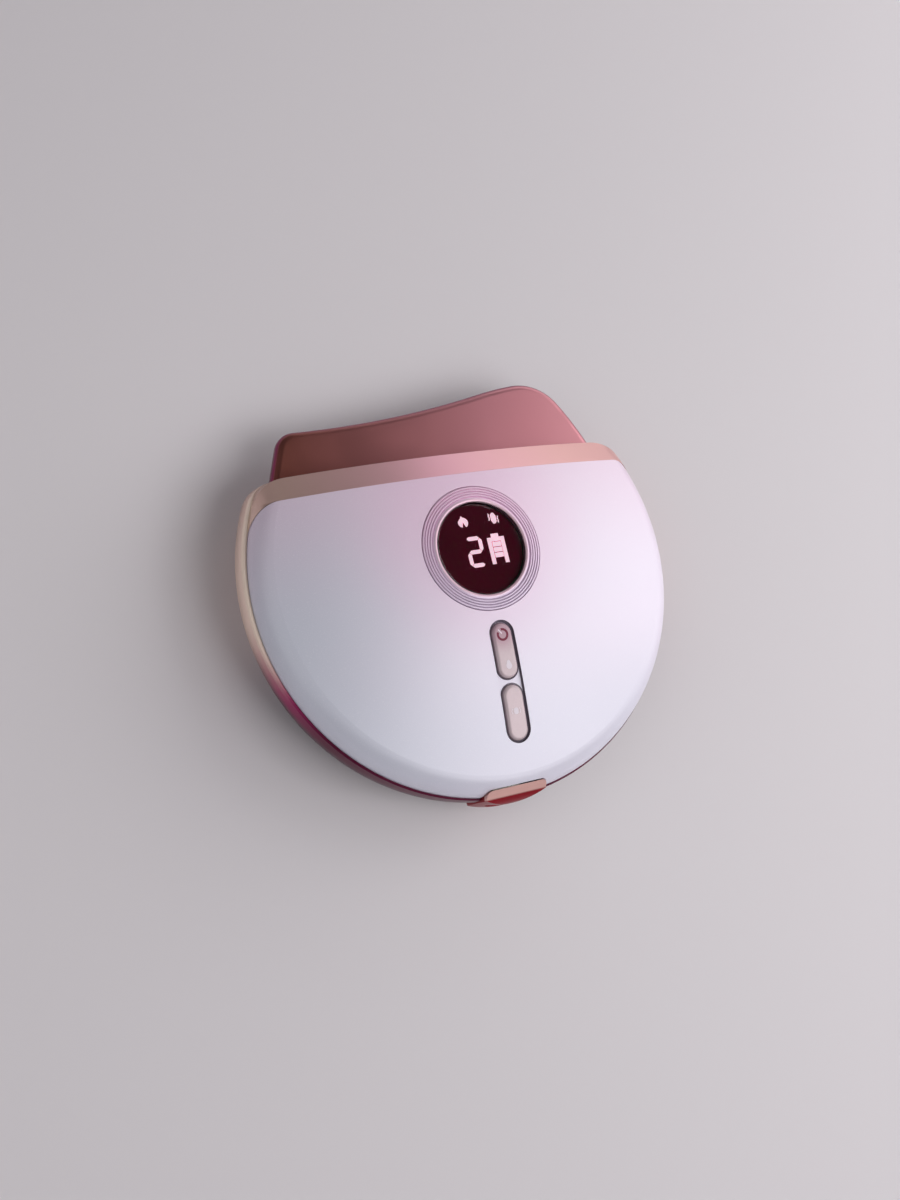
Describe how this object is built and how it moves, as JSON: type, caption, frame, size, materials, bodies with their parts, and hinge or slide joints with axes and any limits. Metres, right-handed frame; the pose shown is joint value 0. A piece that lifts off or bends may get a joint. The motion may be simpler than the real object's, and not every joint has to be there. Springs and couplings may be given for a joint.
{
  "type": "heated gua sha",
  "caption": "Palm-sized heated gua sha: a domed D-shaped body with a wavy metal scraper plate, a round display, pill buttons and a charging inlet.",
  "frame": {"origin": "centre of the body's round outline, on the flat foot it rests on", "axes": "+Y towards the scraper plate, +Z from the foot to the domed cover, +X towards the plate's hump"},
  "size_m": [0.0926, 0.0858, 0.0236],
  "materials": {
    "pearl_white": "pearl gloss",
    "rose_gold": "plated satin gloss",
    "plate_metal": "satin rose plating",
    "bezel_grey": "satin",
    "window_tint": "gloss",
    "lit_white": "lit",
    "button_beige": "satin",
    "black_plastic": "matte",
    "board_green": "solder mask",
    "steel": "plain",
    "pouch": "foil",
    "foam": "foam tape",
    "silicone": "matte",
    "wire_red": "matte",
    "weight_metal": "plain",
    "film_amber": "gloss film"
  },
  "bodies": {
    "housing": {"top_cover": "pearl_white", "lower_housing": "rose_gold", "port_trim": "rose_gold", "display_bezel": "bezel_grey", "display_window": "window_tint", "display_segments": "lit_white", "display_module": "black_plastic", "power_switch": "black_plastic", "vibration_switch": "black_plastic", "main_pcb": "board_green", "board_components": "black_plastic", "pcb_screws": "steel", "usb_c_shell": "steel", "usb_c_tongue": "black_plastic", "battery": "pouch", "battery_pad": "foam", "battery_leads": "wire_red", "motor_can": "steel", "motor_end_cap": "black_plastic", "motor_sleeve": "silicone", "motor_leads": "wire_red", "scraper_plate": "plate_metal", "plate_gasket": "silicone", "plate_clamp": "black_plastic", "plate_screws": "steel", "heater_film": "film_amber", "thermistor": "black_plastic", "heater_leads": "wire_red"},
    "power_button": {"power_heat_button": "button_beige", "power_switch_plunger": "black_plastic"},
    "vibration_key": {"vibration_button": "button_beige", "vibration_switch_plunger": "black_plastic"},
    "rotor": {"motor_shaft": "steel", "eccentric_weight": "weight_metal"}
  },
  "joints": [
    {"name": "power_heat_press", "type": "slide", "parent": "housing", "child": "power_button", "axis": [0, 0, -1], "range_m": [0, 0.0003], "stiffness_N_per_m": 2000, "springref_m": -0.0003},
    {"name": "vibration_press", "type": "slide", "parent": "housing", "child": "vibration_key", "axis": [0, 0, -1], "range_m": [0, 0.0003], "stiffness_N_per_m": 2000, "springref_m": -0.0003},
    {"name": "motor_spin", "type": "hinge", "parent": "housing", "child": "rotor", "pos_m": [0.018, 0.0082, 0.0067], "axis": [1, 0, 0], "continuous": true}
  ]
}
